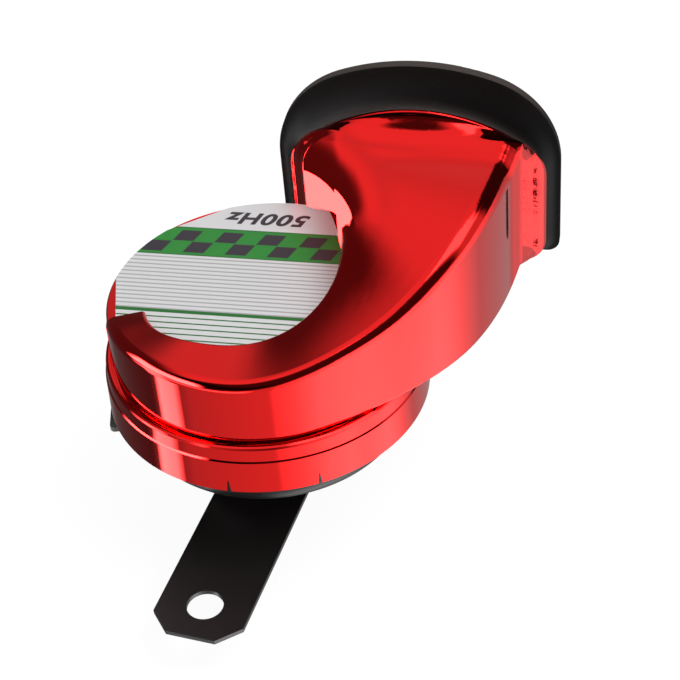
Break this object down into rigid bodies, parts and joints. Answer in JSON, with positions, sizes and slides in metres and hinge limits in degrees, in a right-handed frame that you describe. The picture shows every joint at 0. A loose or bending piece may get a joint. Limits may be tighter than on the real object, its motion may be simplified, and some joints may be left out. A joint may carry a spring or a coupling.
{
  "type": "car horn",
  "caption": "Electromagnetic disc horn with a moulded spiral duct that rises to a flared mouth, crimped to a steel cup with blade terminals and a flat strap bracket on a threaded stud",
  "frame": {"origin": "centre of the bracket's bolt hole, on the face towards the horn", "axes": "+Z along the bolt hole and the horn's disc axis, from the bracket towards the label; the mouth faces 13 degrees from +Y towards +X"},
  "size_m": [0.12, 0.1116, 0.105],
  "materials": {
    "red_plating": "red metallised plating on moulded plastic",
    "red_ring": "red plated steel",
    "black_moulding": "satin black moulding",
    "grey_moulding": "moulded plate",
    "label_foil": "printed foil",
    "gasket_board": "pressed board",
    "spring_steel": "spring steel",
    "black_cup": "black enamel",
    "black_bracket": "black enamel",
    "phenolic": "phenolic board",
    "brass_blade": "plain brass",
    "brass_rivet": "plain brass",
    "soft_iron": "soft iron",
    "bobbin_plastic": "moulded nylon",
    "copper_wire": "enamelled copper wire",
    "contact_metal": "tungsten",
    "zinc_steel": "zinc plated steel"
  },
  "bodies": {
    "bracket": {"mounting_bracket": "black_bracket"},
    "horn": {"snail_housing": "red_plating", "duct_floor_plate": "grey_moulding", "mouth_bezel": "black_moulding", "face_label": "label_foil", "crimp_ring": "red_ring", "upper_gasket": "gasket_board", "lower_gasket": "gasket_board", "diaphragm": "spring_steel", "rear_cup": "black_cup", "terminal_plate": "phenolic", "terminal_blade_1": "brass_blade", "terminal_blade_2": "brass_blade", "terminal_rivet_1": "brass_rivet", "terminal_rivet_2": "brass_rivet", "pole_core": "soft_iron", "coil_bobbin": "bobbin_plastic", "coil_winding": "copper_wire", "breaker_base": "phenolic", "breaker_insulator_lower": "phenolic", "breaker_insulator_upper": "phenolic", "breaker_arm": "spring_steel", "moving_contact": "contact_metal", "fixed_contact": "contact_metal", "breaker_button": "phenolic", "fixed_contact_strip": "brass_blade", "breaker_clamp_plate": "zinc_steel", "breaker_rivet": "brass_rivet", "tuning_screw": "zinc_steel", "tuning_nut": "zinc_steel", "mounting_stud": "zinc_steel", "jam_nut": "zinc_steel", "flat_washer": "zinc_steel", "spring_washer": "zinc_steel", "clamp_nut": "zinc_steel"},
    "armature_set": {"armature": "soft_iron", "armature_washer": "zinc_steel", "armature_nut": "zinc_steel"}
  },
  "joints": [
    {"name": "bracket_swivel", "type": "hinge", "parent": "bracket", "child": "horn", "pos_m": [0.0192, 0.04983, 0], "axis": [0, 0, 1], "range_deg": [-150, 150]},
    {"name": "armature_stroke", "type": "slide", "parent": "horn", "child": "armature_set", "axis": [0, 0, 1], "range_m": [-0.00025, 0.00025], "stiffness_N_per_m": 4000, "deforming": ["diaphragm"]}
  ]
}
